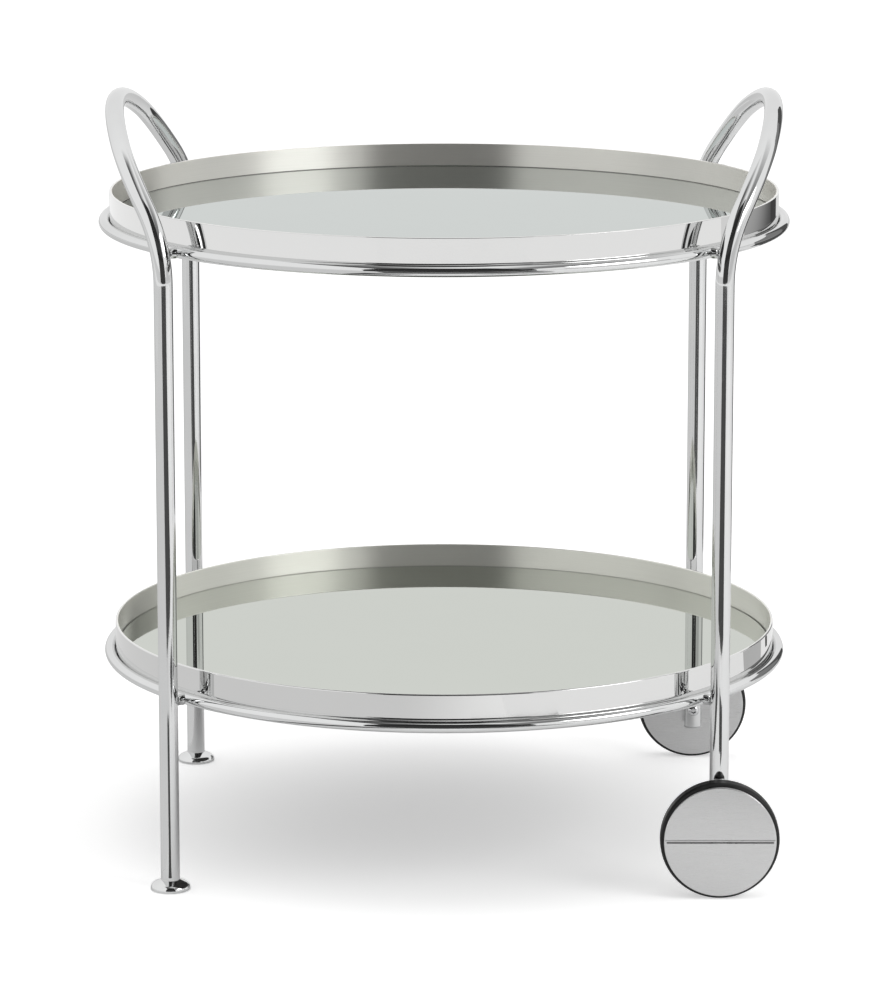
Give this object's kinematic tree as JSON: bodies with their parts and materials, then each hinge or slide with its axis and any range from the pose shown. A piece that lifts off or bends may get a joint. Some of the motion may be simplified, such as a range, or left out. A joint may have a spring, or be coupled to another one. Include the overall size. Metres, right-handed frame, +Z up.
{
  "type": "bar cart",
  "caption": "Round two-tier serving cart in polished metal, with mirror-floored trays on bent tube hoops that form handles, disc feet on the left and fixed wheels on the right.",
  "frame": {"origin": "on the floor under the middle of the trays", "axes": "+X to the cart's right, the wheeled side; +Y to its back; +Z up"},
  "size_m": [0.744, 0.7438, 0.8125],
  "materials": {
    "tube_chrome": "mirror polished",
    "ring_chrome": "mirror polished",
    "foot_chrome": "mirror polished",
    "bolt_chrome": "polished",
    "band_steel": "polished outside, brushed inside",
    "mirror_glass": "clear silvered glass",
    "board": "black stained fibreboard",
    "fixing_steel": "zinc plated",
    "felt": "felt",
    "plug": "matte",
    "tyre": "matte black",
    "wheel_core": "moulded",
    "bush": "turned",
    "wheel_disc": "satin"
  },
  "bodies": {
    "frame": {"upper_tray_band": "band_steel", "upper_tray_board": "board", "upper_tray_mirror": "mirror_glass", "upper_ring": "ring_chrome", "upper_tray_tabs": "fixing_steel", "upper_tray_screws": "fixing_steel", "lower_tray_band": "band_steel", "lower_tray_board": "board", "lower_tray_mirror": "mirror_glass", "lower_ring": "ring_chrome", "lower_tray_tabs": "fixing_steel", "lower_tray_screws": "fixing_steel", "left_hoop": "tube_chrome", "right_hoop": "tube_chrome", "upper_front_left_stub": "ring_chrome", "upper_front_right_stub": "ring_chrome", "upper_rear_left_stub": "ring_chrome", "upper_rear_right_stub": "ring_chrome", "lower_front_left_stub": "ring_chrome", "lower_front_right_stub": "ring_chrome", "lower_rear_left_stub": "ring_chrome", "lower_rear_right_stub": "ring_chrome", "front_foot": "foot_chrome", "front_foot_pad": "felt", "front_foot_insert": "fixing_steel", "rear_foot": "foot_chrome", "rear_foot_pad": "felt", "rear_foot_insert": "fixing_steel", "front_axle_bolt": "bolt_chrome", "front_axle_sleeve": "fixing_steel", "front_axle_spacer": "bolt_chrome", "front_axle_washer": "fixing_steel", "front_axle_nut": "fixing_steel", "front_leg_plug": "plug", "rear_axle_bolt": "bolt_chrome", "rear_axle_sleeve": "fixing_steel", "rear_axle_spacer": "bolt_chrome", "rear_axle_washer": "fixing_steel", "rear_axle_nut": "fixing_steel", "rear_leg_plug": "plug"},
    "front_wheel": {"front_tyre": "tyre", "front_wheel_core": "wheel_core", "front_wheel_bush": "bush", "front_inner_disc": "wheel_disc", "front_outer_cap": "wheel_disc"},
    "rear_wheel": {"rear_tyre": "tyre", "rear_wheel_core": "wheel_core", "rear_wheel_bush": "bush", "rear_inner_disc": "wheel_disc", "rear_outer_cap": "wheel_disc"}
  },
  "joints": [
    {"name": "front_wheel_spin", "type": "hinge", "parent": "frame", "child": "front_wheel", "pos_m": [0.28817, -0.2878, 0.0625], "axis": [0, 1, 0], "continuous": true},
    {"name": "rear_wheel_spin", "type": "hinge", "parent": "frame", "child": "rear_wheel", "pos_m": [0.28817, 0.2878, 0.0625], "axis": [0, 1, 0], "continuous": true}
  ]
}
